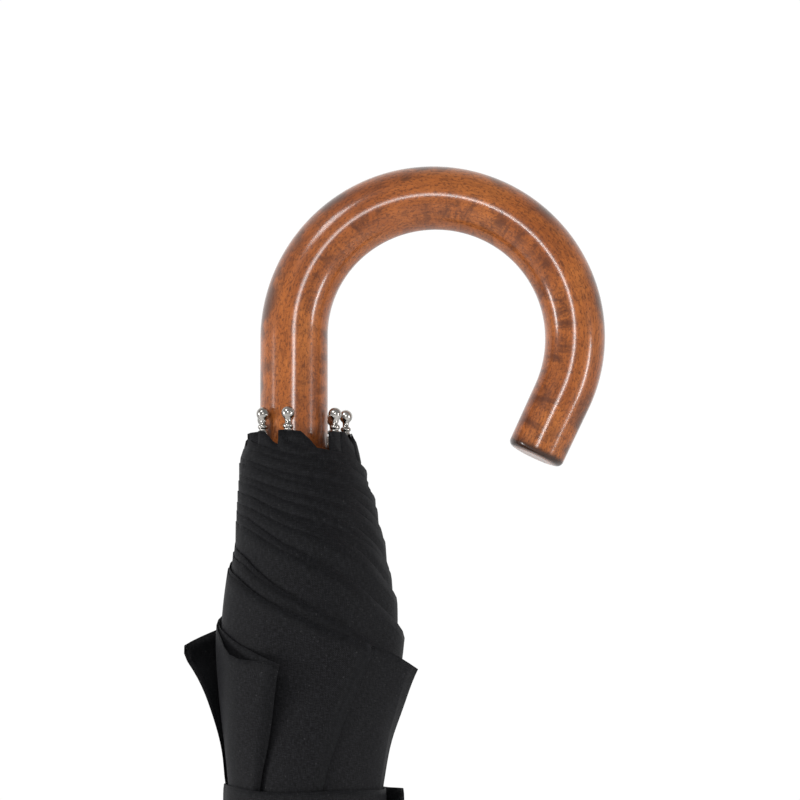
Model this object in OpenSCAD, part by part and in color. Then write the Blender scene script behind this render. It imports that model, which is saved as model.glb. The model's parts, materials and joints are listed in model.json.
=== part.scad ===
// Stick umbrella with a wooden crook handle, closed and rolled, with the handle up.
// The shaft's axis is Z, the ferrule's tip is at z = 0, and the crook opens towards +X.
// Lengths are in millimetres and angles in degrees.

/* [Handle] */
// Diameter of the straight leg
leg_d = 22; // [18:0.2:27]
// Diameter of the nose, at the crook's end
nose_d = 18.8; // [14:0.2:24]
// Radius of the crook, to the middle of the wood
crook_r = 45.5; // [37:0.5:60]
// Turn of the crook, from the leg to the straight nose
crook_turn = 205; // [180:1:215]
// Length of the straight nose
nose_len = 21.4; // [5:0.2:40]
// Length of the straight leg
leg_len = 56; // [46:1:90]
// Depth of the socket in the leg
socket_depth = 40; // [20:1:44]
// How far the rib tips stand above the leg's lower end
tip_overlap = 30; // [20:1:40]

/* [Shaft] */
// Diameter of the wooden shaft
shaft_d = 14; // [11:0.2:17]
// Diameter of the shaft's spigot in the ferrule
spigot_d = 9; // [7:0.2:10]
// Length of the spigot
spigot_len = 40; // [20:1:48]

/* [Ferrule] */
// Length of the ferrule, from its tip to its shoulder
ferrule_len = 66; // [58:1:100]
// Diameter of the ferrule's parallel tip
tip_d = 10; // [7:0.2:11]
// Length of the parallel tip
tip_len = 16; // [10:1:22]
// Diameter of the ferrule above its cone
ferrule_d = 13; // [12.4:0.2:15.6]
// Height of the ferrule's shoulder
shoulder_h = 4; // [2:0.5:6]

/* [Frame] */
// Length of a rib, from its pivot to the middle of its ball tip
rib_len = 635; // [520:1:770]
// Angle between an open rib and the shaft
open_angle = 65; // [50:1:68]
// Azimuth of the first rib
rib_azimuth = -10; // [-22:0.5:22]
// Width of a rib's channel
rib_w = 3.6; // [3.4:0.1:4.2]
// Depth of a rib's channel
rib_depth = 2.6; // [2.2:0.1:3.2]
// Depth of a stretcher's channel
stretcher_depth = 2.2; // [1.8:0.1:2.3]
// Sheet thickness of ribs and stretchers
sheet_t = 0.5; // [0.4:0.05:0.6]
// Diameter of a rib's ball tip
ball_d = 4.3; // [3.6:0.1:6]
// Length of the runner's sleeve, above its crown
sleeve_len = 65; // [50:1:80]
// Free shaft between the closed runner and the handle
runner_gap = 8; // [4:0.5:20]

/* [Springs] */
// Length of a spring catch, from its root to its hold edge
catch_len = 29; // [24:1:36]
// Thickness of a spring catch
catch_t = 1.6; // [1.2:0.1:2]
// How far a catch stands out of the shaft
catch_proud = 2.4; // [1.8:0.1:3]
// Angle that a catch turns when it is pressed in
catch_press = 5; // [4:0.5:6]

/* [Canopy] */
// Thickness that one turn of the rolled pleats adds to the roll
roll_pitch = 9.2; // [7:0.2:12]
// Share of the roll's thickness that the tied strap presses out
strap_squeeze = 0.2; // [0:0.02:0.3]
// How far the folded hem corners stand off the roll
corner_proud = 9; // [4:0.5:12]
// Height of the hem corners below the ball tips
corner_drop = 76; // [66:1:92]
// Width of the tie strap
strap_w = 20; // [14:1:26]
// Height of the tie strap's upper edge below the ball tips
strap_drop = 119; // [112:1:150]

/* [Hidden] */
RIBS = 8;

$fn = 64;
cut = 1;                    // how far a cutter runs past what it cuts
slide_gap = 0.3;            // radial gap of the runner on the shaft
side_gap = 0.3;             // gap on each side of a tongue, ear or catch in its slot
pivot_gap = 0.1;            // radial gap of an eye on its wire or pin
tip_gap = 0.35;             // gap between the ball tips and the handle
glue_gap = 0.02;            // radial gap of a glued spigot in its socket
cloth_gap = 0.6;            // gap between the cloth and the frame under it

// crowns, which hold the pivots
eye_r = 1.5;
wire_r = 0.6;
pin_r = 0.8;
rivet_head = 0.5;           // how far the rivet stands out of the notch's neck
tongue_t = 2;
crown_wall = 0.9;
crown_h = 8;
crown_rim = 1.3;            // crown outside the pivot circle
crown_z = crown_h / 2;      // half the crown, above and below the pivots
shaft_r = shaft_d / 2;
slot_floor_r = shaft_r + slide_gap + crown_wall;
pivot_r = slot_floor_r + side_gap + eye_r;
crown_r = pivot_r + crown_rim;
slot_w = tongue_t + 2 * side_gap;

// heights
cap_h = 8;
washer_t = 1.2;
hem_t = 0.8;                // cloth held between the cap and the washer
neck_h = 9;
cap_z = ferrule_len + shoulder_h;
washer_z = cap_z + cap_h + hem_t;
neck_z = washer_z + washer_t;
notch_z = neck_z + neck_h + crown_z;
tip_r = max(leg_d / 2 + ball_d / 2 + tip_gap, pivot_r + 1.2);
tilt = asin((tip_r - pivot_r) / rib_len);
tip_z = notch_z + rib_len * cos(tilt);
leg_z = tip_z - tip_overlap;
runner_z = leg_z - runner_gap - sleeve_len - crown_z;
stretcher_len = (runner_z - notch_z) / (2 * cos(tilt));
open_z = notch_z + 2 * stretcher_len * cos(open_angle);
arc_z = leg_z + leg_len;
rivet_z = neck_z + neck_h / 2;
stop_pin_z = open_z - crown_z - 4;

// ribs and stretchers, each along its own pivot line
bar_gap = 0.3;              // gap between a bar and the pivot line
bar_from = 5;               // where a bar's solid end starts, from its pivot
bar_solid = 7;              // length of that solid end
stretcher_w = tongue_t + 2 * sheet_t;
shank_r = 1.1;
end_block = 8;              // solid end of the channel at the tip
end_from_tip = 21;          // where that end starts, below the ball's middle
shank_in_cup = 6;           // length of the rib's round shank inside the tip's cup
cup_h = 8;
cup_wall = 0.5;

// springs
spring_azimuth = rib_azimuth + 180 / RIBS;
catch_gap = 0.6;            // play between a catch and the runner that it holds
catch_root_r = shaft_r - 3;
catch_peak_r = shaft_r + catch_proud;
catch_leaf = 1.2;
catch_slope = 22;           // length of the ramp behind the hold edge
catch_slot_floor = -1;
hand_hold = 39;             // how far the hold edge is up the closed runner's sleeve
hand_top_z = runner_z + crown_z + hand_hold;
hand_root_z = hand_top_z - catch_len;
top_hold_z = open_z + crown_z + sleeve_len + catch_gap;
top_root_z = top_hold_z + catch_len;

// canopy and strap
canopy_sides = 56;
canopy_rings = 32;
canopy_z = cap_z + cap_h;
apex_z = canopy_z + hem_t / 2;
gore_half = 180 * sin(open_angle) / RIBS;
hem_drop = 7;               // how far the cloth ends below the ball tips
hem_z = tip_z - hem_drop;
corner_z = tip_z - corner_drop;
strap_top_z = tip_z - strap_drop;
strap_mid_z = strap_top_z - strap_w / 2;
skin_t = 1;                 // cloth over the frame where no pleat covers it
squeeze_reach = 26;         // how far above and below its middle the strap presses
corner_reach = 16;          // how far above and below a corner its pleat stands off
strap_t = 0.9;
strap_gap = 0.4;
strap_lap = 75;             // azimuth at which the strap's second layer starts
strap_end = -4;             // azimuth of the strap's free end
snap_azimuth = 28;
snap_cap_r = 5.5;
snap_cap_h = 1.7;
snap_stud_r = 3.8;
snap_stud_h = 1;
snap_sink = 0.2;            // how far the snap's parts are pressed into the strap

nickel = "#c9c6bd";
steel = "#8c8e92";
maple = "#b0653a";
dark_wood = "#5a3524";
cloth = "#1d1e22";

// ---------- shared shapes ----------

// A flat plate in the XZ plane, t thick along Y.
module plate(t, outline) {
    rotate([90, 0, 0])
        linear_extrude(height = t, center = true)
            polygon(outline);
}

// A cylinder along Y through the point (x, z).
module cross_pin(r, length, x = 0, z = 0) {
    translate([x, 0, z])
        rotate([90, 0, 0])
            cylinder(h = length, r = r, center = true);
}

module tube(z, h, r_out, r_in) {
    difference() {
        translate([0, 0, z]) cylinder(h = h, r = r_out);
        translate([0, 0, z - cut]) cylinder(h = h + 2 * cut, r = r_in);
    }
}

// A ring of round wire of radius r on the pivot circle.
module wire_ring(z, r) {
    translate([0, 0, z])
        rotate_extrude()
            translate([pivot_r, 0])
                circle(r = r, $fn = 32);
}

function rib_turn(k) = rib_azimuth + (k - 1) * 360 / RIBS;

// A rib's own frame: its notch pivot at the origin, its tip along +Z, outwards along +X.
module at_rib(k) {
    rotate([0, 0, rib_turn(k)])
        translate([pivot_r, 0, notch_z])
            rotate([0, tilt, 0])
                children();
}

// A stretcher's own frame: its rib pivot at the origin, its runner pivot along +Z.
module at_stretcher(k) {
    rotate([0, 0, rib_turn(k)])
        translate([
            pivot_r + stretcher_len * sin(tilt), 0, notch_z + stretcher_len * cos(tilt)
        ])
            rotate([0, -tilt, 0])
                children();
}

// ---------- handle and shaft ----------

function crook_d(t) = leg_d + (nose_d - leg_d) * t;
function crook_len() = crook_r * crook_turn * PI / 180 + nose_len;
// The crook's centre line, as [x, z, heading], at the share t of its length.
function crook_at(t) =
    let (
        s = t * crook_len(),
        turned = min(s / crook_r * 180 / PI, crook_turn),
        past = max(0, s - crook_r * crook_turn * PI / 180)
    )
    [
        crook_r - crook_r * cos(turned) + past * sin(turned),
        arc_z + crook_r * sin(turned) + past * cos(turned),
        turned
    ];

// The bent wood from inside the leg's upper end to the nose, as rings square to its centre line.
module crook() {
    steps = 40;
    sides = 24;
    edge = 1.4;             // rounding at the nose
    seat = 6;               // how far the first ring stands inside the leg
    seat_gap = 0.05;        // how much smaller than the leg it is there
    lengths = [for (i = [0:steps]) i / steps * (1 - edge / crook_len()), 1];
    arc_rings = [for (i = [0:steps + 1]) let (
        at = crook_at(lengths[i]),
        r = crook_d(lengths[i]) / 2 - (i > steps ? edge : 0) - (i < 1 ? seat_gap : 0)
    ) [for (j = [0:sides - 1]) let (a = 360 * j / sides) [
        at[0] + r * cos(a) * cos(at[2]),
        r * sin(a),
        at[1] - r * cos(a) * sin(at[2])
    ]]];
    rings = concat([[for (p = arc_rings[0]) p - [0, 0, seat]]], arc_rings);
    last = steps + 2;
    polyhedron(
        points = [for (ring = rings) each ring],
        faces = [
            [for (j = [0:sides - 1]) j],
            [for (j = [sides - 1:-1:0]) last * sides + j],
            for (i = [0:last - 1], j = [0:sides - 1])
                let (n = (j + 1) % sides, a = i * sides, b = a + sides)
                    each [[a + j, b + j, b + n], [a + j, b + n, a + n]]
        ],
        convexity = 4
    );
}

module crook_handle() {
    color(maple)
        difference() {
            union() {
                translate([0, 0, leg_z]) cylinder(h = leg_len, r = leg_d / 2);
                crook();
            }
            translate([0, 0, leg_z - cut])
                cylinder(h = socket_depth + cut, r = shaft_r + glue_gap);
        }
}

// A slot for a spring catch, cut into the shaft from the spring's side.
module catch_slot(low, high) {
    rotate([0, 0, spring_azimuth])
        translate([catch_slot_floor, -catch_t / 2 - side_gap, low])
            cube([shaft_d, catch_t + 2 * side_gap, high - low]);
}

module shaft() {
    slot_end = 3;
    color(dark_wood)
        difference() {
            union() {
                translate([0, 0, cap_z])
                    cylinder(h = leg_z + socket_depth - cut - cap_z, r = shaft_r);
                translate([0, 0, cap_z - spigot_len])
                    cylinder(h = spigot_len + cut, r = spigot_d / 2);
            }
            catch_slot(hand_root_z - slot_end, hand_top_z + slot_end);
            catch_slot(top_hold_z - slot_end, top_root_z + slot_end);
            cross_pin(pin_r, shaft_d + 2 * cut, z = rivet_z);
            cross_pin(pin_r, shaft_d + 2 * cut, z = stop_pin_z);
        }
}

module ferrule() {
    lip = 0.8;
    shoulder_r = shaft_r + 0.9;
    cone_z = ferrule_len - 6;
    color(nickel)
        difference() {
            union() {
                rotate_extrude()
                    polygon([
                        [0, 0], [tip_d / 2 - lip, 0], [tip_d / 2, lip],
                        [tip_d / 2, lip + tip_len], [ferrule_d / 2, cone_z],
                        [ferrule_d / 2, ferrule_len], [0, ferrule_len]
                    ]);
                translate([0, 0, ferrule_len - cut])
                    cylinder(h = shoulder_h + cut, r = shoulder_r);
            }
            translate([0, 0, cap_z - spigot_len - cut])
                cylinder(h = spigot_len + 2 * cut, r = spigot_d / 2 + glue_gap);
        }
}

// The metal cup that covers the cloth's centre, next to the ferrule.
module crown_cap() {
    wall = 0.8;
    cap_r = crown_r + 2.4;
    color(nickel)
        rotate_extrude()
            polygon([
                [shaft_r, cap_z], [shaft_r + 3, cap_z], [cap_r - 1, cap_z + 3],
                [cap_r, cap_z + cap_h], [cap_r - wall, cap_z + cap_h],
                [cap_r - 1 - wall, cap_z + 3 + wall], [shaft_r + 3, cap_z + 1.6],
                [shaft_r + 3, cap_z + cap_h], [shaft_r, cap_z + cap_h]
            ]);
}

module crown_washer() {
    color(cloth) tube(washer_z, washer_t, crown_r - 0.4, shaft_r);
}

// ---------- notch and runner ----------

// A slotted crown with a groove for its wire: the ribs' or stretchers' eyes turn in it.
module crown(z, bore_r) {
    difference() {
        tube(z - crown_z, crown_h, crown_r, bore_r);
        wire_ring(z, wire_r);
        for (k = [1:RIBS])
            rotate([0, 0, rib_turn(k)])
                translate([slot_floor_r, -slot_w / 2, z - crown_z - cut])
                    cube([crown_r, slot_w, crown_h + 2 * cut]);
    }
}

module top_notch() {
    color(steel) {
        crown(notch_z, shaft_r);
        difference() {
            tube(neck_z, neck_h, slot_floor_r, shaft_r);
            cross_pin(pin_r, 4 * shaft_d, z = rivet_z);
        }
    }
}

module notch_wire() {
    color(nickel) wire_ring(notch_z, wire_r);
}

module notch_rivet() {
    color(nickel) cross_pin(pin_r, 2 * slot_floor_r + 2 * rivet_head, z = rivet_z);
}

// The pin under the open runner, which stops it.
module stop_pin() {
    color(nickel) cross_pin(pin_r, 2 * slot_floor_r, z = stop_pin_z);
}

module runner() {
    sleeve_r = slot_floor_r + 0.6;
    grip_r = slot_floor_r + 1.6;
    grip_h = 4;
    bore_r = shaft_r + slide_gap;
    window_low_z = hand_top_z - catch_slope + 2;
    color(nickel) {
        crown(runner_z, bore_r);
        difference() {
            union() {
                translate([0, 0, runner_z + crown_z])
                    cylinder(h = sleeve_len, r = sleeve_r);
                translate([0, 0, runner_z + crown_z + sleeve_len - grip_h])
                    cylinder(h = grip_h, r = grip_r);
            }
            translate([0, 0, runner_z]) cylinder(h = 2 * sleeve_len, r = bore_r);
            rotate([0, 0, spring_azimuth])
                translate([shaft_r - cut, -catch_t / 2 - side_gap, window_low_z])
                    cube([2 * cut + sleeve_r - shaft_r, catch_t + 2 * side_gap,
                        hand_top_z + catch_gap - window_low_z]);
        }
    }
}

module runner_wire() {
    color(steel) wire_ring(runner_z, wire_r);
}

// A sprung catch along +Z: its root at z = 0 and its hold edge at catch_len, proud along +X.
module catch() {
    ramp_z = catch_len - catch_slope;
    inner_r = catch_root_r - catch_leaf;
    plate(catch_t, [
        [inner_r, 0], [catch_root_r, 0], [shaft_r - 0.8, ramp_z], [catch_peak_r - 0.3, catch_len - 3],
        [catch_peak_r, catch_len - 2], [catch_peak_r, catch_len], [shaft_r - 1.5, catch_len],
        [shaft_r - 1.5, catch_len - 6]
    ]);
}

module hand_spring() {
    color(steel)
        rotate([0, 0, spring_azimuth])
            translate([0, 0, hand_root_z])
                catch();
}

module top_spring() {
    color(steel)
        rotate([0, 0, spring_azimuth])
            translate([0, 0, top_root_z])
                mirror([0, 0, 1])
                    catch();
}

// ---------- ribs and stretchers ----------

// A U-shaped channel along Z from low to high. Its back is at x = back, and it opens towards toward.
module channel(back, toward, depth, width, low, high) {
    lip = back + toward * depth;
    floor_x = back + toward * sheet_t;
    half = width / 2;
    inner = half - sheet_t;
    translate([0, 0, low])
        linear_extrude(height = high - low)
            polygon([
                [back, -half], [lip, -half], [lip, -inner], [floor_x, -inner],
                [floor_x, inner], [lip, inner], [lip, half], [back, half]
            ]);
}

module rib() {
    back = bar_gap + rib_depth;
    joint = stretcher_len;
    ear_r = 1.6;
    end = rib_len - end_from_tip;
    inner = rib_w / 2 - sheet_t;
    difference() {
        union() {
            cross_pin(eye_r, tongue_t);
            plate(tongue_t, [
                [-1, 0], [-0.2, 4], [bar_gap, 6], [bar_gap, bar_from + 2],
                [back, bar_from + 2], [back, bar_from + 0.5], [1.3, 0]
            ]);
            translate([bar_gap, -rib_w / 2, bar_from])
                cube([rib_depth, rib_w, bar_solid]);
            channel(back, -1, rib_depth, rib_w, bar_from + bar_solid - cut, end);
            for (side = [-1, 1])
                translate([0, side * (inner + sheet_t / 2), 0]) {
                    cross_pin(ear_r, sheet_t, z = joint);
                    plate(sheet_t, [
                        [0, joint - 1.5], [bar_gap + 1, joint - 3],
                        [bar_gap + 1, joint + 3], [0, joint + 1.5]
                    ]);
                }
            translate([-shank_r, -rib_w / 2, end - cut])
                cube([back + shank_r, rib_w, end_block]);
            translate([0, 0, end]) cylinder(h = end_block - cut + shank_in_cup, r = shank_r);
        }
        cross_pin(wire_r + pivot_gap, rib_w + 2 * cut);
        cross_pin(pin_r, rib_w + 2 * cut, z = joint);
    }
}

module rib_tip() {
    cup_z = rib_len - end_from_tip + end_block - cut;
    difference() {
        union() {
            translate([0, 0, rib_len]) sphere(d = ball_d);
            translate([0, 0, cup_z]) cylinder(h = cup_h, r = shank_r + cup_wall);
            translate([0, 0, cup_z + cup_h - cut])
                cylinder(h = rib_len - cup_z - cup_h + cut, r = shank_r);
        }
        translate([0, 0, cup_z - cut])
            cylinder(h = shank_in_cup + cut, r = shank_r);
    }
}

module rib_pin() {
    head_r = 1.3;
    head_h = 0.4;
    cross_pin(pin_r, rib_w, z = stretcher_len);
    for (side = [-1, 1])
        translate([0, side * (rib_w + head_h) / 2, 0])
            cross_pin(head_r, head_h, z = stretcher_len);
}

module stretcher() {
    back = -bar_gap - stretcher_depth;
    far = stretcher_len;
    difference() {
        union() {
            for (z = [0, far]) cross_pin(eye_r, tongue_t, z = z);
            plate(tongue_t, [
                [-1.2, 0], [1.2, 0], [0.6, 2.5], [-bar_gap, 4.5], [-bar_gap, bar_from + 2],
                [back, bar_from + 2], [back, bar_from + 0.3], [-1.5, 4]
            ]);
            plate(tongue_t, [
                [-1.2, far], [1.2, far], [0.6, far - 2.5], [-bar_gap, far - 4.5],
                [-bar_gap, far - bar_from - 2], [back, far - bar_from - 2],
                [back, far - bar_from - 0.3], [-1.4, far - 4.3]
            ]);
            for (z = [bar_from, far - bar_from - bar_solid])
                translate([back, -stretcher_w / 2, z])
                    cube([stretcher_depth, stretcher_w, bar_solid]);
            channel(back, 1, stretcher_depth, stretcher_w,
                bar_from + bar_solid - cut, far - bar_from - bar_solid + cut);
        }
        cross_pin(pin_r + pivot_gap, stretcher_w + 2 * cut);
        cross_pin(wire_r + pivot_gap, stretcher_w + 2 * cut, z = far);
    }
}

// ---------- cloth ----------

// The outside of the ribs at the height z.
function rib_back_r(z) =
    let (line = pivot_r + (z - notch_z) * tan(tilt))
    norm([line + bar_gap + rib_depth, rib_w / 2]);
// A share from 0 at low to 1 at high, with smooth ends.
function smooth(x, low, high) =
    let (t = min(max((x - low) / (high - low), 0), 1))
    t * t * (3 - 2 * t);
// The inside of the rolled cloth: over the notch, along the ribs, and onto the tips' cups.
function roll_in_r(z) =
    z > tip_z - end_from_tip + end_block + 1 ? tip_r + shank_r + cup_wall + cloth_gap
    : z < notch_z - crown_z - 6 ? crown_r + cloth_gap
    : rib_back_r(max(z, notch_z)) + cloth_gap;
// The width of half a gore, from its rib to its fold or its hem, at the height z.
function pleat_w(z) =
    z < corner_z ? (z - apex_z) * tan(gore_half)
    : (corner_z - apex_z) * tan(gore_half) * (hem_z - z) / (hem_z - corner_z);
// A pleat of that width is rolled into a spiral, and this is how far it turns, in radians.
function pleat_turn(z) =
    let (core = roll_in_r(z), grow = roll_pitch / (2 * PI))
    (sqrt(core * core + 2 * grow * pleat_w(z)) - core) / grow;
// The outside of the roll, pressed in by the strap.
function roll_out_r(z) =
    roll_in_r(z) + skin_t
    + roll_pitch / (2 * PI) * pleat_turn(z)
    * (1 - strap_squeeze * exp(-pow((z - strap_mid_z) / squeeze_reach, 2)));
// How high a pleat's folded edge stands over the next pleat.
function edge_h(z) =
    roll_pitch / RIBS * smooth(z, apex_z, notch_z + 60)
    + corner_proud * exp(-pow((z - corner_z) / corner_reach, 2));
// The share of that height at the azimuth a, from 0 after one folded edge to 1 at the next.
function edge_share(a) =
    let (t = (a % (360 / RIBS)) / (360 / RIBS))
    t < 0.8 ? t / 0.8 : (1 - t) / 0.2;

module canopy() {
    low = canopy_z + hem_t;
    sides = canopy_sides;
    rings = canopy_rings;
    corner_rings = 12;
    corner_low = corner_z - 36; // where the rings start to lie closer
    levels = concat(
        [for (i = [0:rings - corner_rings]) low + (corner_low - low) * i / (rings - corner_rings)],
        [for (i = [1:corner_rings]) corner_low + (hem_z - corner_low) * i / corner_rings]
    );
    outer = [for (z = levels, j = [0:sides - 1])
        let (
            a = 360 * j / sides,
            turned = rib_azimuth + pleat_turn(z) * 180 / PI,
            r = roll_out_r(z) + edge_h(z) * edge_share(a + 3600 - turned) - roll_pitch / RIBS / 2
        ) [r * cos(a), r * sin(a), z]];
    inner = [for (z = levels, j = [0:sides - 1])
        let (a = 360 * j / sides, r = roll_in_r(z))
            [r * cos(a), r * sin(a), z]];
    skin = sides * (rings + 1);
    color(cloth)
        polyhedron(
            points = concat(outer, inner),
            faces = [
                for (j = [0:sides - 1]) let (n = (j + 1) % sides, top = sides * rings) each [
                    [skin + j, j, n], [skin + j, n, skin + n],
                    [top + j, skin + top + j, skin + top + n],
                    [top + j, skin + top + n, top + n]
                ],
                for (i = [0:rings - 1], j = [0:sides - 1])
                    let (n = (j + 1) % sides, a = i * sides, b = a + sides) each [
                        [a + j, b + j, b + n], [a + j, b + n, a + n],
                        [skin + a + j, skin + b + n, skin + b + j],
                        [skin + a + j, skin + a + n, skin + b + n]
                    ]
            ],
            convexity = 6
        );
}

function strap_r() =
    max([for (i = [0:10]) let (z = strap_top_z - strap_w * i / 10) roll_out_r(z) + edge_h(z)])
    + strap_gap;
function lap_r() = strap_r() + strap_t + snap_stud_h;

// The strap goes once round the roll, steps out and laps over itself, up to its free end.
module tie_strap() {
    step = 6;
    rise = 12;
    turns = [for (t = [0:step:360 + strap_lap - strap_end]) t];
    function lap(t) = strap_r() + (lap_r() - strap_r()) * smooth(t, 360 - rise, 360);
    color(cloth)
        translate([0, 0, strap_top_z - strap_w])
            linear_extrude(height = strap_w)
                polygon(concat(
                    [for (t = turns) lap(t) * [cos(strap_lap - t), sin(strap_lap - t)]],
                    [for (i = [len(turns) - 1:-1:0]) let (t = turns[i])
                        (lap(t) + strap_t) * [cos(strap_lap - t), sin(strap_lap - t)]]
                ));
}

module at_snap(r) {
    rotate([0, 0, snap_azimuth])
        translate([r, 0, strap_mid_z])
            rotate([0, 90, 0])
                children();
}

module snap_cap() {
    rim_h = 0.9;
    color(nickel)
        at_snap(lap_r() + strap_t - snap_sink) {
            cylinder(h = rim_h, r = snap_cap_r);
            translate([0, 0, rim_h])
                cylinder(h = snap_cap_h - rim_h, r1 = snap_cap_r, r2 = snap_cap_r - 1.6);
        }
}

module snap_stud() {
    color(nickel)
        at_snap(strap_r() + strap_t - snap_sink)
            cylinder(h = snap_stud_h + snap_sink, r = snap_stud_r);
}

// ---------- one line for each node ----------

crook_handle();
shaft();
ferrule();
crown_cap();
crown_washer();
top_notch();
notch_wire();
notch_rivet();
stop_pin();
runner();
runner_wire();
top_spring();
hand_spring();
for (k = [1:RIBS]) {
    color(steel) at_rib(k) rib();
    color(nickel) at_rib(k) rib_tip();
    color(nickel) at_rib(k) rib_pin();
    color(steel) at_stretcher(k) stretcher();
}
canopy();
tie_strap();
snap_cap();
snap_stud();
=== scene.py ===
"""The looks of the stick umbrella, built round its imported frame. Lengths are in metres.

The crook handle, the rolled canopy, its tie strap and the snap are made here. The canopy is eight gores,
each laid out flat first. A gore is folded along its middle into a pleat of two layers, and the pleats are
rolled round the ribs as one spiral. Each cloth point also knows where it lies on the open umbrella, so a
Geometry Nodes modifier carries it there as the ribs and the runner move.
"""

import json
import math

import bpy
import numpy as np
from mathutils import Matrix, Vector

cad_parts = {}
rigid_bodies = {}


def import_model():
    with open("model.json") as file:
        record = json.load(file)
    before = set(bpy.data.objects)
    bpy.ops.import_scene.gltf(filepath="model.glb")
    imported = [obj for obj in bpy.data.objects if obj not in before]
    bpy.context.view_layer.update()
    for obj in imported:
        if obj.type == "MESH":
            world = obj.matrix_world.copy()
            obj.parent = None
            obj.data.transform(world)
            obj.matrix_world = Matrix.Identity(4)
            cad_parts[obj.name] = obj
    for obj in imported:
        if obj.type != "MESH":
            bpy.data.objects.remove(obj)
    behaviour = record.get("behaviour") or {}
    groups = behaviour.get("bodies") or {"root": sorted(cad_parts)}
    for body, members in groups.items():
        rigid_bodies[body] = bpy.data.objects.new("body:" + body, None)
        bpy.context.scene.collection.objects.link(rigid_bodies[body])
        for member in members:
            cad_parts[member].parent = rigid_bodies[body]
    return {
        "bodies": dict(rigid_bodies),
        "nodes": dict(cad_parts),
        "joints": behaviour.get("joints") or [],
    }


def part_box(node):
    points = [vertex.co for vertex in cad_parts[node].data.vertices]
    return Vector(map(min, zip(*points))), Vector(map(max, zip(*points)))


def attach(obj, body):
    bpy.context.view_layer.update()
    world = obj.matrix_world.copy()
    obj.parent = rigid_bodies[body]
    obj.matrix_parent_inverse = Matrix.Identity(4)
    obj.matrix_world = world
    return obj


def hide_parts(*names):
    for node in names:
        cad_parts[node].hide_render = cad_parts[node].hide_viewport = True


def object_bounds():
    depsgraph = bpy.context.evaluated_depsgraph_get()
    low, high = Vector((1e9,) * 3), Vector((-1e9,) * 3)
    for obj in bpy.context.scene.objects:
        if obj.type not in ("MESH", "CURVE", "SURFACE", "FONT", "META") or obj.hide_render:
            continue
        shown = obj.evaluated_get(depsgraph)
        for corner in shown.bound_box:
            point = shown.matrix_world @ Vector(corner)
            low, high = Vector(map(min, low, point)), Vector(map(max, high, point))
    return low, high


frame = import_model()
CAD_BOX = [list(corner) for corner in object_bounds()]

MM = 0.001
TAU = 2 * math.pi

# ---------- places taken from the frame ----------

JOINTS = {j["name"]: j for j in frame["joints"]}
RIBS = 8
SECTOR = TAU / RIBS
OPEN = JOINTS["canopy_open"]
PIVOT = Vector(OPEN["pos_m"])
PIVOT_R = math.hypot(PIVOT.x, PIVOT.y)
FIRST_RIB = math.atan2(PIVOT.y, PIVOT.x)
OPEN_TURN = math.radians(OPEN["range_deg"][1])
FOLD = Vector(JOINTS["stretcher_1_fold"]["pos_m"])
TILT = math.atan2(math.hypot(FOLD.x, FOLD.y) - PIVOT_R, FOLD.z - PIVOT.z)
STRETCHER = (FOLD - PIVOT).length
RUNNER_TRAVEL = 2 * STRETCHER * (math.cos(TILT) - math.cos(TILT + OPEN_TURN))
TIP_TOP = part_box("rib_tip_1")[1].z
BALL_R = 2.15 * MM
TIP_Z = TIP_TOP - BALL_R
CAP_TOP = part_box("crown_cap")[1].z
SHAFT_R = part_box("shaft")[1].x
STRAP_LOW, STRAP_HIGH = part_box("tie_strap")[0].z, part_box("tie_strap")[1].z
STRAP_MID = (STRAP_LOW + STRAP_HIGH) / 2
HANDLE_LOW, HANDLE_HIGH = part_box("crook_handle")

# ---------- small tools ----------


def smooth(x, low, high):
    """0 at low to 1 at high, with smooth ends, for numbers and arrays."""
    t = np.clip((x - low) / (high - low), 0, 1)
    return t * t * (3 - 2 * t)


def bump(x, middle, reach):
    return np.exp(-(((x - middle) / reach) ** 2))


def grid_faces(rows, columns, wrap=False):
    """Quads over rows by columns of points, closed across the columns if wrap is set."""
    faces = []
    for i in range(rows - 1):
        a, b = i * columns, (i + 1) * columns
        for j in range(columns if wrap else columns - 1):
            n = (j + 1) % columns
            faces.append((a + j, a + n, b + n, b + j))
    return faces


def add_object(name, data):
    made = bpy.data.objects.new(name, data)
    bpy.context.scene.collection.objects.link(made)
    return made


def add_node(tree, kind, links=None, **settings):
    """Adds a node with its settings. Each of its links is a value, or the socket that feeds it."""
    made = tree.nodes.new(kind)
    for key, value in settings.items():
        setattr(made, key, value)
    for socket, value in (links or {}).items():
        if isinstance(value, bpy.types.NodeSocket):
            tree.links.new(value, made.inputs[socket])
        else:
            made.inputs[socket].default_value = value
    return made


def new_piece(name, points, faces, material, smooth_faces=True):
    mesh = bpy.data.meshes.new(name)
    mesh.from_pydata([tuple(p) for p in points], [], faces)
    mesh.materials.append(material)
    mesh.polygons.foreach_set("use_smooth", [smooth_faces] * len(mesh.polygons))
    mesh.update()
    return add_object(name, mesh)


def point_attribute(piece, name, values):
    """Stores one number or one vector for each point."""
    values = np.asarray(values, np.float32)
    kind, field = ("FLOAT", "value") if values.ndim == 1 else ("FLOAT_VECTOR", "vector")
    attribute = piece.data.attributes.new(name, kind, "POINT")
    attribute.data.foreach_set(field, values.ravel())


# ---------- materials ----------


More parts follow.
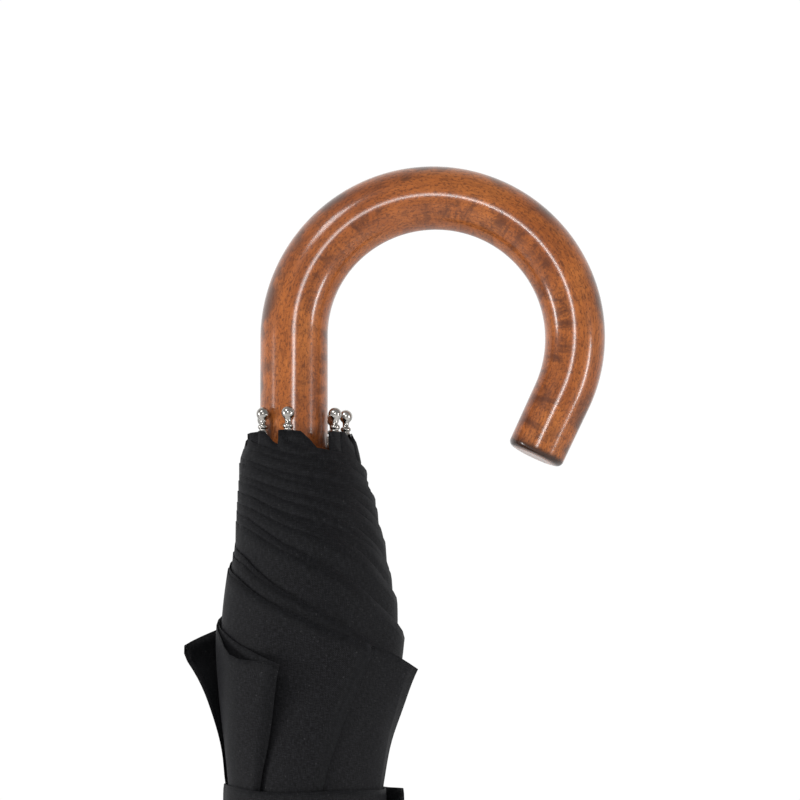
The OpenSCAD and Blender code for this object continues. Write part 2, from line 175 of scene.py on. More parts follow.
class Shader:
    """A Principled material, with short calls for the nodes that feed it."""

    def __init__(self, name, **sockets):
        self.material = bpy.data.materials.new(name)
        self.material.use_nodes = True
        self.tree = self.material.node_tree
        self.surface = self.tree.nodes["Principled BSDF"]
        for socket, value in sockets.items():
            self.surface.inputs[socket.replace("_", " ")].default_value = value

    def node(self, kind, links=None, **settings):
        return add_node(self.tree, kind, links, **settings)

    def attribute(self, name):
        return self.node("ShaderNodeAttribute", attribute_name=name).outputs["Vector"]

    def place(self):
        return self.node("ShaderNodeTexCoord").outputs["Object"]

    def stretch(self, vector, scale, shift=(0, 0, 0)):
        return self.node(
            "ShaderNodeMapping", {"Vector": vector, "Scale": scale, "Location": shift}
        ).outputs["Vector"]

    def noise(self, vector, scale, detail=4.0, rough=0.5, distortion=0.0):
        return self.node(
            "ShaderNodeTexNoise",
            {
                "Vector": vector, "Scale": scale, "Detail": detail,
                "Roughness": rough, "Distortion": distortion,
            },
        ).outputs["Fac"]

    def math(self, operation, a, b=0.0, c=0.0):
        return self.node(
            "ShaderNodeMath", {0: a, 1: b, 2: c}, operation=operation
        ).outputs[0]

    def ramp(self, factor, stops):
        node = self.node("ShaderNodeValToRGB", {"Fac": factor})
        elements = node.color_ramp.elements
        while len(elements) < len(stops):
            elements.new(0.5)
        for element, (at, colour) in zip(elements, stops):
            element.position = at
            element.color = (*colour, 1)
        return node.outputs["Color"]

    def mix(self, factor, a, b, blend="MIX"):
        node = self.node("ShaderNodeMix", data_type="RGBA", blend_type=blend)
        colours = [s for s in node.inputs if s.type == "RGBA"]
        for socket, value in ((node.inputs["Factor"], factor), (colours[0], a), (colours[1], b)):
            if isinstance(value, bpy.types.NodeSocket):
                self.tree.links.new(value, socket)
            else:
                socket.default_value = value if isinstance(value, float) else (*value, 1)
        return next(s for s in node.outputs if s.type == "RGBA")

    def set(self, socket, value):
        self.tree.links.new(value, self.surface.inputs[socket])

    def raise_by(self, height, distance, strength):
        """Adds a bump of that height map and depth, over any bump that is there."""
        links = {"Height": height, "Distance": distance, "Strength": strength}
        under = self.surface.inputs["Normal"].links
        if under:
            links["Normal"] = under[0].from_socket
        self.set("Normal", self.node("ShaderNodeBump", links).outputs["Normal"])


def maple_material():
    """Stained and lacquered maple. Its wood attribute is the place in the stick before it was bent."""
    s = Shader(
        "maple_lacquered", Coat_Weight=0.9, Coat_Roughness=0.17, Coat_IOR=1.38, Specular_IOR_Level=0.15,
    )
    wood = s.attribute("wood")
    part = s.node("ShaderNodeSeparateXYZ", {0: wood}).outputs

    def mask(value, low, high):
        return s.node("ShaderNodeMapRange", {
            "Value": value, "From Min": low, "From Max": high,
        }, interpolation_type="SMOOTHSTEP").outputs["Result"]

    cloud = s.noise(s.stretch(wood, (55, 55, 26)), 1.0, 4.0, 0.6, 0.4)
    ripple = s.noise(s.stretch(wood, (110, 110, 270), (0.3, 0.1, 0)), 1.0, 6.0, 0.70, 0.4)
    patches = s.noise(s.stretch(wood, (70, 70, 42), (2, 5, 1.4)), 1.0, 3.0, 0.6)
    smoke = s.noise(s.stretch(wood, (70, 70, 85), (4, 1, 8)), 1.0, 4.0, 0.6)
    fibres = s.noise(s.stretch(wood, (1300, 1300, 260)), 1.0, 4.0, 0.7)
    specks = s.noise(s.stretch(wood, (1700, 1700, 1000), (1, 2, 3)), 1.0, 2.0, 0.7)
    base = s.ramp(cloud, [
        (0.30, (0.250, 0.062, 0.012)), (0.50, (0.375, 0.106, 0.021)), (0.72, (0.510, 0.165, 0.036)),
    ])
    # short dark marks across the stick, most of them on the inside of the bend
    inside = mask(part[0], -3.5 * MM, 2.5 * MM)
    figure = s.math("MULTIPLY", mask(ripple, 0.40, 0.66), mask(patches, 0.34, 0.60))
    figure = s.math("MULTIPLY", figure, s.math("MULTIPLY_ADD", inside, 0.62, 0.26))
    base = s.mix(figure, base, (0.082, 0.022, 0.008))
    # smoky stain on the outside of the bend
    stain = s.math("MULTIPLY", mask(part[0], -4.5 * MM, -9.5 * MM), mask(smoke, 0.42, 0.60))
    base = s.mix(s.math("MULTIPLY", stain, 0.80), base, (0.050, 0.034, 0.028))
    base = s.mix(s.math("MULTIPLY", mask(fibres, 0.42, 0.66), 0.46), base, (0.100, 0.027, 0.009))
    base = s.mix(s.math("MULTIPLY", mask(specks, 0.48, 0.66), 0.66), base, (0.085, 0.022, 0.007))
    knot_place = s.node("ShaderNodeVectorMath", {0: wood, 1: KNOT}, operation="SUBTRACT").outputs[0]
    knot_far = s.node("ShaderNodeVectorMath", {
        0: s.stretch(knot_place, (900, 900, 420)),
    }, operation="LENGTH").outputs["Value"]
    base = s.mix(s.math("MULTIPLY", mask(knot_far, 1.1, 0.30), 0.60), base, (0.035, 0.014, 0.008))
    # painted shade: a dark ring round the nose, by its rounded edge
    painted_edge_shade = s.node("ShaderNodeAttribute", attribute_name="painted_edge_shade").outputs["Fac"]
    base = s.mix(painted_edge_shade, base, (0.012, 0.005, 0.003))
    s.set("Base Color", base)
    s.set("Roughness", s.math("MULTIPLY_ADD", fibres, 0.16, 0.34))
    s.raise_by(s.noise(s.stretch(wood, (90, 90, 34), (7, 1, 4)), 1.0, 2.0), 0.25 * MM, 0.5)
    s.raise_by(fibres, 0.03 * MM, 0.7)
    return s.material


def stained_wood_material():
    s = Shader("shaft_stained", Coat_Weight=0.5, Coat_Roughness=0.15)
    grain = s.noise(s.stretch(s.place(), (900, 900, 14)), 1.0, 4.0, 0.6)
    s.set("Base Color", s.ramp(grain, [
        (0.30, (0.030, 0.013, 0.007)), (0.55, (0.085, 0.038, 0.018)), (0.75, (0.14, 0.066, 0.030)),
    ]))
    s.set("Roughness", s.math("MULTIPLY_ADD", grain, 0.2, 0.3))
    s.raise_by(grain, 0.04 * MM, 0.6)
    return s.material


def metal_material(name, dark, light, roughness, lines):
    """Worn metal: faint drawing lines along Z, and cloudy handling marks."""
    s = Shader(name, Metallic=1.0)
    marks = s.noise(s.place(), 120, 3.0, 0.5)
    drawn = s.noise(s.stretch(s.place(), (5000, 5000, lines)), 1.0, 2.0)
    s.set("Base Color", s.ramp(marks, [(0.20, dark), (0.70, light)]))
    s.set("Roughness", s.math("ADD", s.math("MULTIPLY", marks, 0.12),
        s.math("MULTIPLY_ADD", drawn, 0.10, roughness)))
    s.raise_by(drawn, 0.006 * MM, 0.5)
    return s.material


def cloth_material():
    """Near-black close-woven cloth. Its cut attribute is the place in the flat cloth."""
    s = Shader(
        "canopy_cloth", Sheen_Weight=0.022, Sheen_Roughness=0.5, Specular_IOR_Level=0.10,
        Sheen_Tint=(0.85, 0.87, 0.93, 1),
    )
    cut = s.attribute("cut")
    twill = s.node("ShaderNodeTexWave", {
        "Vector": s.stretch(cut, (1, 1, 0)), "Scale": 1150.0, "Distortion": 0.8, "Detail": 1.0,
        "Detail Scale": 300.0,
    }, wave_type="BANDS", bands_direction="DIAGONAL").outputs["Fac"]
    yarns = s.noise(s.stretch(cut, (3400, 520, 0)), 1.0, 2.0, 0.6)
    threads = s.noise(s.stretch(cut, (460, 3400, 0)), 1.0, 2.0, 0.6)
    cloud = s.noise(s.stretch(cut, (55, 55, 0)), 1.0, 3.0)
    weave = s.math("ADD", s.math("MULTIPLY", twill, 0.22),
        s.math("ADD", s.math("MULTIPLY", yarns, 0.45), s.math("MULTIPLY", threads, 0.45)))
    colour = s.ramp(weave, [
        (0.38, (0.0012, 0.0012, 0.0015)), (0.58, (0.0046, 0.0046, 0.0054)), (0.74, (0.022, 0.0222, 0.025)),
    ])
    lint = s.noise(s.stretch(cut, (900, 900, 0), (0.4, 0.7, 0)), 1.0, 1.0)
    colour = s.mix(s.ramp(lint, [(0.70, (0, 0, 0)), (0.80, (1, 1, 1))]), colour, (0.032, 0.032, 0.033))
    s.set("Base Color", s.mix(s.math("MULTIPLY", cloud, 0.30), colour, (0.005, 0.005, 0.0058)))
    s.set("Roughness", s.math("MULTIPLY_ADD", weave, -0.18, 0.76))
    s.raise_by(weave, 0.05 * MM, 0.6)
    stitched = s.node("ShaderNodeAttribute", attribute_name="stitched").outputs["Fac"]
    s.raise_by(stitched, 0.25 * MM, 1.0)
    return s.material


KNOT = (-5.6 * MM, -8.4 * MM, 63 * MM)      # in the stick before it was bent
MAPLE = maple_material()
SHAFT_WOOD = stained_wood_material()
NICKEL = metal_material("nickel", (0.30, 0.285, 0.265), (0.52, 0.50, 0.47), 0.10, 60)
FRAME_STEEL = metal_material("frame_steel", (0.16, 0.165, 0.17), (0.27, 0.275, 0.285), 0.28, 30)
BRIGHT_STEEL = metal_material("bright_steel", (0.42, 0.43, 0.44), (0.60, 0.61, 0.62), 0.20, 30)
CLOTH = cloth_material()

# ---------- the crook handle ----------

LEG_R = HANDLE_HIGH.y
NOSE_R = 9.4 * MM
CROOK_R = 45.5 * MM
CROOK_TURN = math.radians(205)
NOSE_LEN = 21.4 * MM
ARC_LEN = CROOK_R * CROOK_TURN
BENT_LEN = ARC_LEN + NOSE_LEN
TOP_R = LEG_R + (NOSE_R - LEG_R) * (CROOK_R * math.pi / 2) / BENT_LEN
ARC_Z = HANDLE_HIGH.z - CROOK_R - TOP_R
LEG_LEN = ARC_Z - HANDLE_LOW.z
# how far back from the nose the painted shade of its rounded edge reaches
EDGE_SHADE_LEN = 3.2 * MM
NOSE_EDGE = 1.9 * MM         # radius of the nose's rounded edge
NOSE_DOME = 0.15 * MM        # how far the nose's flat end stands out


def crook_centre(s):
    """The place and heading of the handle's centre line at the length s past the straight leg."""
    turned = min(max(s, 0) / CROOK_R, CROOK_TURN)
    past = max(0, s - ARC_LEN)
    x = CROOK_R - CROOK_R * math.cos(turned) + past * math.sin(turned)
    z = ARC_Z + CROOK_R * math.sin(turned) + past * math.cos(turned) + min(s, 0)
    return Vector((x, 0, z)), turned


def make_handle():
    sides, step = 96, 0.8 * MM
    # (length past the leg, how much the radius is drawn in) for each ring
    rows = [(s, 0.0) for s in np.arange(-LEG_LEN, BENT_LEN - NOSE_EDGE, step)]
    rounding = 10
    for i in range(rounding + 1):
        a = math.pi / 2 * i / rounding
        rows.append((BENT_LEN - NOSE_EDGE + NOSE_EDGE * math.sin(a), NOSE_EDGE * (1 - math.cos(a))))
    rows += [(BENT_LEN + NOSE_DOME, NOSE_EDGE + inset * MM) for inset in (0.6, 2.0, 4.0, 6.0)]
    points, wood, painted_edge_shade = [], [], []
    for s, drawn_in in rows:
        centre, turned = crook_centre(s)
        share = min(max(s, 0) / BENT_LEN, 1)
        radius = LEG_R + (NOSE_R - LEG_R) * share - drawn_in
        out = Vector((math.cos(turned), 0, -math.sin(turned)))
        for j in range(sides):
            a = TAU * j / sides
            hand_made = 1 - 0.006 * (1 + math.sin(2 * a + 31 * s + 1) * math.sin(47 * s))
            r = radius * hand_made
            points.append(centre + out * (r * math.cos(a)) + Vector((0, r * math.sin(a), 0)))
            wood.append((r * math.cos(a), r * math.sin(a), s))
            # a ring of painted shade by the nose's rounded edge, fading out on its flat end
            ring = smooth(s, BENT_LEN - EDGE_SHADE_LEN, BENT_LEN - 0.35 * EDGE_SHADE_LEN)
            painted_edge_shade.append(0.92 * ring * (1 - 0.85 * smooth(drawn_in, 1.0 * MM, 2.4 * MM)))
    # the leg's end is closed under the cloth, and the nose by a point
    faces = grid_faces(len(rows), sides, wrap=True)
    low, high = len(points), len(points) + 1
    points += [crook_centre(-LEG_LEN)[0], crook_centre(BENT_LEN + NOSE_DOME)[0]]
    wood += [(0, 0, -LEG_LEN), (0, 0, BENT_LEN)]
    painted_edge_shade += [0.0, 0.1]
    last = (len(rows) - 1) * sides
    for j in range(sides):
        n = (j + 1) % sides
        faces.append((low, n, j))
        faces.append((high, last + j, last + n))
    piece = new_piece("crook_handle_wood", points, faces, MAPLE)
    point_attribute(piece, "wood", wood)
    point_attribute(piece, "painted_edge_shade", painted_edge_shade)
    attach(piece, "root")
    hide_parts("crook_handle")


# ---------- the flat gore and its roll ----------

CLOTH_T = 0.16 * MM
HEM_Z = TIP_Z - 6 * MM
APEX_Z = CAP_TOP + 0.4 * MM
CORNER_Z = TIP_Z - 76 * MM
HOLE_R = SHAFT_R + 0.6 * MM
SHOULDER = 12.6 * MM         # where the cloth turns from the crown up along the ribs
RIB_BACK = 2.9 * MM          # the back of a rib's channel, from its pivot line
RIB_HALF_W = 1.8 * MM
LEAN = 4.2 * MM              # how far the roll's outside sits towards the crook's open side
LEAN_RISE = 6.5 * MM         # how far from the roll's inside a layer has the whole lean
ROLL_PITCH = 10.6 * MM       # thickness that one turn of the roll adds
BUNCH = 0.80                 # a pleat's width in the roll, where fine wrinkles take it up
GROW = ROLL_PITCH / TAU
LAYER = ROLL_PITCH / RIBS
GORE_HALF = math.pi * math.sin(OPEN_TURN + TILT) / RIBS
GORE_LEN = SHOULDER + HEM_Z - APEX_Z
CORNER_X = SHOULDER + CORNER_Z - APEX_Z
CORNER_W = CORNER_X * math.tan(GORE_HALF)
POCKET_W = 3.0 * MM          # half the width of the cloth at a rib's tip
STRAP_PRESS = 0.34           # the share of the roll's thickness that the strap presses in
STRAP_REACH = 32 * MM        # how far from the strap's middle that fades
HEM_THICK = 0.66             # the roll's thickness at the hem, as a share
BODY_GAIN = 0.42             # what that share gains lower down


def hem_distance(psi):
    """How far the hem is from the gore's point, at the angle psi from the rib. It runs square to the rib
    across half the tip's pocket, and then straight to the gore's corner."""
    along, across = CORNER_X - GORE_LEN, CORNER_W - POCKET_W
    slanting = (GORE_LEN * across - POCKET_W * along) / (across * np.cos(psi) - along * np.sin(psi))
    return np.minimum(GORE_LEN / np.cos(psi), slanting)


def core_r(z):
    """The radius of the roll's inside at the height z, from the outside of the straight frame."""
    line = PIVOT_R + (z - PIVOT.z) * math.tan(TILT)
    back = np.hypot(line + RIB_BACK, RIB_HALF_W) + 0.35 * MM
    at_tips = PIVOT_R + (TIP_Z - PIVOT.z) * math.tan(TILT) + 2.0 * MM
    back = back + (at_tips - back) * smooth(z, HEM_Z - 9 * MM, HEM_Z - 3 * MM)
    return SHOULDER + (back - SHOULDER) * smooth(z, APEX_Z, PIVOT.z)


def turn_of(width, core):
    """How far round a pleat of that width goes, in radians."""
    return (np.sqrt(core**2 + 2 * GROW * BUNCH * width) - core) / GROW


def edge_w(z):
    """The width of half a gore at its folded edge, at the height z."""
    return (np.minimum(z, CORNER_Z) - APEX_Z + SHOULDER) * math.tan(GORE_HALF)


# How each pleat lies, one entry for each gore. In order: how far its corner stands off the roll as a
# straight flap, how far its two layers part at the hem, how much its hem is held up, how much its flap
# curls in (per metre), how far its corner is pulled down, how deep its hem is scooped beside the tip, and
# where its fold lies round the roll at the corner and at the strap, in degrees from its rib.
FLAP = [c * MM for c in (23, 21, 24, 29, 22, 15, 27, 19)]
MOUTH = [c * MM for c in (1.6, 2.0, 1.6, 1.0, 3.6, 1.2, 1.5, 1.0)]
HELD_UP = [c * MM for c in (6.5, 3.0, 5.0, 7.5, 2.5, 6.5, 3.5, 6.0)]
CURL = (2.9, 4.8, 4.0, 1.0, 2.9, 4.8, 2.4, 4.8)
DROP = [c * MM for c in (-2, 3, 2, -1, 6.0, 0, 6.0, 2)]
SCOOP = [c * MM for c in (1.0, 1.5, 1.2, 1.0, 1.8, 2.2, 5.5, 1.2)]
FOLD_AT_CORNER = [math.radians(a) for a in (395, 410, 399, 384, 408, 427, 403, 413)]
FOLD_AT_STRAP = [math.radians(a) for a in (415, 417, 413, 413, 421, 424, 441, 427)]
LOOP = math.radians(30)      # how far the inner layer bulges back round its rib before it turns
LOOP_W = 8 * MM              # how far from the rib it bulges most
HELD_FADE, SCOOP_FADE, MOUTH_FADE = 60 * MM, 25 * MM, 22 * MM  # how far under the hem each dies away

# What hands leave uneven: share of the thickness, waves round the roll, millimetres of height for each
# radian, and phase.
LUMPS = ((0.050, 2, 34, 0.6), (0.035, 3, -21, 2.0), (0.030, 1, 90, 4.0), (0.016, 7, -9, 1.0))

# Where rolling the cloth leaves each ball tip, one entry for each rib: degrees round the shaft and
# millimetres outwards from its place in the frame.
TIP_SHIFT = (
    (6.6, 3.3), (-0.3, 1.6), (-8, 0.8), (-20, 0.4), (-33, 0.1), (9.4, 0.1), (3.2, 0.1), (22.3, 2.4),
)
BEND_FROM, BEND_TO = FOLD.z + STRETCHER + 2 * MM, TIP_Z - 6 * MM


def swayed(places):
    """Places in the closed umbrella, carried aside with the ends of the ribs."""
    places = np.asarray(places, float)
    radius = np.hypot(places[..., 0], places[..., 1])
    azimuth = np.arctan2(places[..., 1], places[..., 0])
    at = ((azimuth - FIRST_RIB) / SECTOR) % RIBS
    before = at.astype(int) % RIBS
    part = at - at.astype(int)
    shift = np.array(TIP_SHIFT) * (math.radians(1), MM)
    shift = shift[before] + (shift[(before + 1) % RIBS] - shift[before]) * part[..., None]
    share = smooth(places[..., 2], BEND_FROM, BEND_TO)
    azimuth = azimuth + shift[..., 0] * share
    radius = radius + shift[..., 1] * share
    return np.stack([radius * np.cos(azimuth), radius * np.sin(azimuth), places[..., 2]], axis=-1)


def gore_point(k, x, w, inner):
    """Where a point of gore k lies in the closed roll: x along the rib, w across it.
    inner is 0 on the layer that starts at rib k and 1 on the layer that starts at rib k + 1."""
    rib = FIRST_RIB + k * SECTOR
    z = APEX_Z + np.maximum(x - SHOULDER, 0)
    edge = edge_w(z)
    hem_drop = np.clip((CORNER_W - w) / CORNER_W, 0, 1) * (HEM_Z - CORNER_Z)
    under_hem = np.maximum(CORNER_Z + hem_drop - z, 0)
    held_up = HELD_UP[k] * bump(w, 0.52 * CORNER_W, 0.30 * CORNER_W)
    scoop = SCOOP[k] * smooth(w, POCKET_W, 10 * MM) * (1 - smooth(w, 30 * MM, 90 * MM))
    z = z + (held_up - DROP[k] * smooth(w, 0.5 * CORNER_W, CORNER_W)) * np.exp(-under_hem / HELD_FADE)
    z = z - scoop * np.exp(-under_hem / SCOOP_FADE)
    core = np.where(x < SHOULDER, x, core_r(z))
    near_edge = np.clip(w / np.maximum(edge, 1e-6), 0, 1)

    # straight flaps: past the width depart, the cloth runs on along the roll's tangent
    standing = np.clip((z - STRAP_HIGH - 4 * MM) / (CORNER_Z - STRAP_HIGH - 6 * MM), 0, 1)
    flap = FLAP[k] * standing**1.15
    depart = np.minimum(edge, CORNER_W) - flap
    past = np.maximum(w - depart, 0)
    turn = turn_of(np.minimum(w, depart), core)
    at_corner = FOLD_AT_CORNER[k] - turn_of(CORNER_W - FLAP[k], core_r(CORNER_Z))
    at_strap = FOLD_AT_STRAP[k] - turn_of(edge_w(STRAP_MID), core_r(STRAP_MID))
    slide = at_strap + (at_corner - at_strap) * smooth(z, STRAP_HIGH, CORNER_Z)
    turn = turn + slide * smooth(w, 0.15 * CORNER_W, CORNER_W)
    if inner:
        turn = turn - SECTOR * smooth(near_edge, 0, 0.9)
        loop = w / LOOP_W * np.exp(1 - w / LOOP_W) * smooth(z, TIP_Z - 60 * MM, TIP_Z - 25 * MM)
        rib = rib + SECTOR
        under = GROW * SECTOR * (1 - smooth(turn, 0, 0.5)) + 0.40 * LAYER * smooth(turn, 0, 0.5)
        rise = np.maximum(GROW * (turn + SECTOR) - under * (1 - smooth(near_edge, 0.93, 1.0)), 0)
        turn = turn - LOOP * loop
    else:
        rise = GROW * turn
    azimuth = rib + turn

    # the strap presses the roll in, it is thinner at the hem, and hands leave it uneven; all layers alike
    press = 1 - STRAP_PRESS * bump(z, STRAP_MID, STRAP_REACH)
    press = press * (HEM_THICK + BODY_GAIN * smooth(HEM_Z - z, 14 * MM, 72 * MM))
    lumps = sum(
        size * np.sin(waves * azimuth + z / (per_radian * MM) + phase)
        for size, waves, per_radian, phase in LUMPS
    )
    rise = rise * press * (1 + lumps * smooth(z, APEX_Z + 30 * MM, APEX_Z + 120 * MM))
    radius = core + rise

    # the two layers part near the hem's corner: the outer one stands off
    mouth = MOUTH[k] * bump(w, CORNER_W - 17 * MM, 10.5 * MM) * np.exp(-under_hem / MOUTH_FADE)
    lift = 0.0 if inner else mouth
    radius = radius + lift

    outward = np.stack([np.cos(azimuth), np.sin(azimuth), 0 * azimuth], axis=-1)
    tangent = np.stack([-np.sin(azimuth), np.cos(azimuth), 0 * azimuth], axis=-1)
    place = outward * radius[..., None]
    place[..., 2] = z - 0.9 * lift
    curl = past * past * CURL[k]
    place = place + tangent * past[..., None] - outward * curl[..., None]

    # the roll as a whole sits a little to one side of the shaft
    share = np.clip(rise / LEAN_RISE, 0, 1)
    place[..., 0] += LEAN * share * smooth(z, APEX_Z + 80 * MM, CORNER_Z - 40 * MM)
    return swayed(place)


OPEN_GAP = 1.4 * MM          # between a rib's back and the open cloth
BELLY = 9 * MM               # how far the open cloth sags between two ribs


def open_line(x):
    """Where a rib carries the cloth when the umbrella is open, as radius and height."""
    slope = TILT + OPEN_TURN
    s = np.maximum(x - SHOULDER - (PIVOT.z - APEX_Z), -3 * MM)
    off = RIB_BACK + OPEN_GAP
    radius = PIVOT_R + s * math.sin(slope) + off * math.cos(slope)
    height = PIVOT.z + s * math.cos(slope) - off * math.sin(slope)
    on_rib = smooth(x, SHOULDER, SHOULDER + 24 * MM)
    radius = np.minimum(x, SHOULDER) * (1 - on_rib) + radius * on_rib
    height = APEX_Z * (1 - on_rib) + height * on_rib
    return radius, height


def open_point(k, distance, share):
    """Where a point of gore k lies on the open umbrella: its distance from the gore's point, and the
    share of the way from rib k to rib k + 1."""
    radius, height = open_line(distance)
    ends = []
    for a in (FIRST_RIB + k * SECTOR, FIRST_RIB + (k + 1) * SECTOR):
        ends.append(np.stack([radius * math.cos(a), radius * math.sin(a), height], axis=-1))
    t = share[..., None]
    flat = ends[0] * (1 - t) + ends[1] * t
    slack = np.sin(math.pi * share) * smooth(distance, 30 * MM, 300 * MM)
    middle = FIRST_RIB + (k + 0.5) * SECTOR
    inward = Vector((-math.cos(middle) * math.cos(OPEN_TURN), -math.sin(middle) * math.cos(OPEN_TURN),
        math.sin(OPEN_TURN)))
    belly = BELLY * slack * np.sin(math.pi * np.clip(distance / GORE_LEN, 0, 1) ** 0.8)
    return flat + belly[..., None] * np.array(inward)


def rib_swing(k):
    """What the open joint does to rib k, as a matrix."""
    a = FIRST_RIB + k * SECTOR
    pivot = Vector((PIVOT_R * math.cos(a), PIVOT_R * math.sin(a), PIVOT.z))
    axis = Vector((-math.sin(a), math.cos(a), 0))
    return Matrix.Translation(pivot) @ Matrix.Rotation(OPEN_TURN, 4, axis) @ Matrix.Translation(-pivot)


def in_rib(k, places):
    """Places on the open umbrella, as points that ride on rib k."""
    back = np.array(rib_swing(k).inverted())
    return places @ back[:3, :3].T + back[:3, 3]


# ---------- the modifier that opens the cloth ----------


def geometry_group(name, bodies):
    """An empty geometry node group that takes those bodies, and a call that adds a node to it."""
    group = bpy.data.node_groups.new(name, "GeometryNodeTree")
    face = group.interface
    face.new_socket("Geometry", in_out="INPUT", socket_type="NodeSocketGeometry")
    for body in bodies:
        face.new_socket(body, in_out="INPUT", socket_type="NodeSocketObject")
    face.new_socket("Geometry", in_out="OUTPUT", socket_type="NodeSocketGeometry")

    def node(kind, links=None, **settings):
        return add_node(group, kind, links, **settings)

    return group, node


def opened_share(node, runner):
    """0 when the umbrella is shut, to 1 when it is open, from the runner's height."""
    place = node("GeometryNodeObjectInfo", {"Object": runner})
    height = node("ShaderNodeSeparateXYZ", {0: place.outputs["Location"]}).outputs["Z"]
    return node("ShaderNodeMapRange", {
        "Value": height, "From Min": 0.0, "From Max": -RUNNER_TRAVEL,
    }).outputs["Result"]


def use_group(piece, group, bodies):
    """Adds a node group to a piece as a modifier, with its bodies filled in."""
    modifier = piece.modifiers.new(group.name, "NODES")
    modifier.node_group = group
    for item in group.interface.items_tree:
        if item.item_type == "SOCKET" and item.in_out == "INPUT" and item.name in bodies:
            modifier[item.identifier] = frame["bodies"][bodies[item.name]]


def opening_group():
    """A node group: each point goes from its closed place to its open place, carried by two ribs."""
    group, node = geometry_group("cloth_opening", ("Rib A", "Rib B", "Runner"))

    def stored(name, kind):
        return node("GeometryNodeInputNamedAttribute", {"Name": name}, data_type=kind).outputs["Attribute"]

    def mixed(factor, a, b):
        made = node("ShaderNodeMix", data_type="VECTOR")
        vectors = [s for s in made.inputs if s.type == "VECTOR" and s.enabled]
        group.links.new(factor, next(s for s in made.inputs if s.type == "VALUE" and s.enabled))
        group.links.new(a, vectors[0])
        group.links.new(b, vectors[1])
        return next(s for s in made.outputs if s.type == "VECTOR" and s.enabled)

    given = node("NodeGroupInput")
    opened = opened_share(node, given.outputs["Runner"])
    closed_place = node("GeometryNodeInputPosition").outputs["Position"]
    carried = []
    for rib, name in (("Rib A", "open_a"), ("Rib B", "open_b")):
        info = node("GeometryNodeObjectInfo", {"Object": given.outputs[rib]})
        place = mixed(opened, closed_place, stored(name, "FLOAT_VECTOR"))
        carried.append(node("FunctionNodeTransformPoint", {
            "Vector": place, "Transform": info.outputs["Transform"],
        }).outputs[0])
    final = mixed(stored("across", "FLOAT"), carried[0], carried[1])
    moved = node("GeometryNodeSetPosition", {
        "Geometry": given.outputs["Geometry"], "Position": final,
    })
    result = node("NodeGroupOutput")
    group.links.new(moved.outputs["Geometry"], result.inputs["Geometry"])
    return group


OPENING = opening_group()


def carry_open(piece, k, open_places, across):
    """Makes a piece follow the cloth between ribs k and k + 1 as the umbrella opens."""
    point_attribute(piece, "open_a", in_rib(k, open_places))
    point_attribute(piece, "open_b", in_rib(k + 1, open_places))
    point_attribute(piece, "across", across)
    use_group(piece, OPENING, {
        "Rib A": f"rib_{k % RIBS + 1}", "Rib B": f"rib_{(k + 1) % RIBS + 1}", "Runner": "runner",
    })


# ---------- the canopy ----------

ACROSS, ALONG = 56, 190      # faces across half a gore and along it
HEM_W = 7 * MM


def make_gore(k):
    """Gore k, between rib k and rib k + 1: one mesh of two half gores that share its middle fold."""
    share = np.linspace(0, 1, ACROSS + 1) ** 1.25
    start = HOLE_R / GORE_LEN
    along = start + (1 - start) * np.linspace(0, 1, ALONG + 1) ** 0.82
    psi, part = np.meshgrid(share * GORE_HALF, along)
    distance = part * hem_distance(psi)
    x, w = distance * np.cos(psi), distance * np.sin(psi)
    x = np.maximum(x, HOLE_R)
    turned_in = (1 - part) * hem_distance(psi)
    stitched = smooth(turned_in, 0.0, 0.4 * MM) * (1 - bump(turned_in, HEM_W, 0.45 * MM))
    near = psi / GORE_HALF * 0.5
    halves = []
    for inner in (0, 1):
        closed = gore_point(k, x, w, inner)
        across = near if not inner else 1 - near
        halves.append((closed, open_point(k, distance, across), across,
            np.stack([x, w if not inner else 2 * CORNER_W - w, 0 * x], axis=-1), stitched))
    # the inner half is laid out from the fold back to its rib, without repeating the fold
    flip = [a[:, ::-1][:, 1:] for a in halves[1]]
    closed, opened, across, cut, stitch = [
        np.concatenate([a, b], axis=1) for a, b in zip(halves[0], flip)
    ]
    columns = 2 * ACROSS + 1
    # both halves meet on the fold line
    closed[:, ACROSS] = (closed[:, ACROSS] + gore_point(k, x, w, 1)[:, -1]) / 2
    piece = new_piece(
        f"canopy_gore_{k + 1}", closed.reshape(-1, 3), grid_faces(ALONG + 1, columns), CLOTH
    )
    point_attribute(piece, "cut", cut.reshape(-1, 3))
    point_attribute(piece, "stitched", stitch.ravel())
    carry_open(piece, k, opened.reshape(-1, 3), across.ravel())
    thick = piece.modifiers.new("thickness", "SOLIDIFY")
    thick.thickness = CLOTH_T
    thick.offset = 0
    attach(piece, "root")
    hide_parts("canopy")


# ---------- ribs and ball tips ----------


def straightening_group():
    """A node group that takes the sway off a rib or a tip as the umbrella opens."""
    group, node = geometry_group("frame_straightening", ("Runner",))
    given = node("NodeGroupInput")
    sway = node("GeometryNodeInputNamedAttribute", {"Name": "sway"}, data_type="FLOAT_VECTOR")
    offset = node("ShaderNodeVectorMath", {
        0: sway.outputs["Attribute"], "Scale": opened_share(node, given.outputs["Runner"]),
    }, operation="SCALE")
    moved = node("GeometryNodeSetPosition", {
        "Geometry": given.outputs["Geometry"], "Offset": offset.outputs["Vector"],
    })
    result = node("NodeGroupOutput")
    group.links.new(moved.outputs["Geometry"], result.inputs["Geometry"])
    return group


STRAIGHTENING = straightening_group()


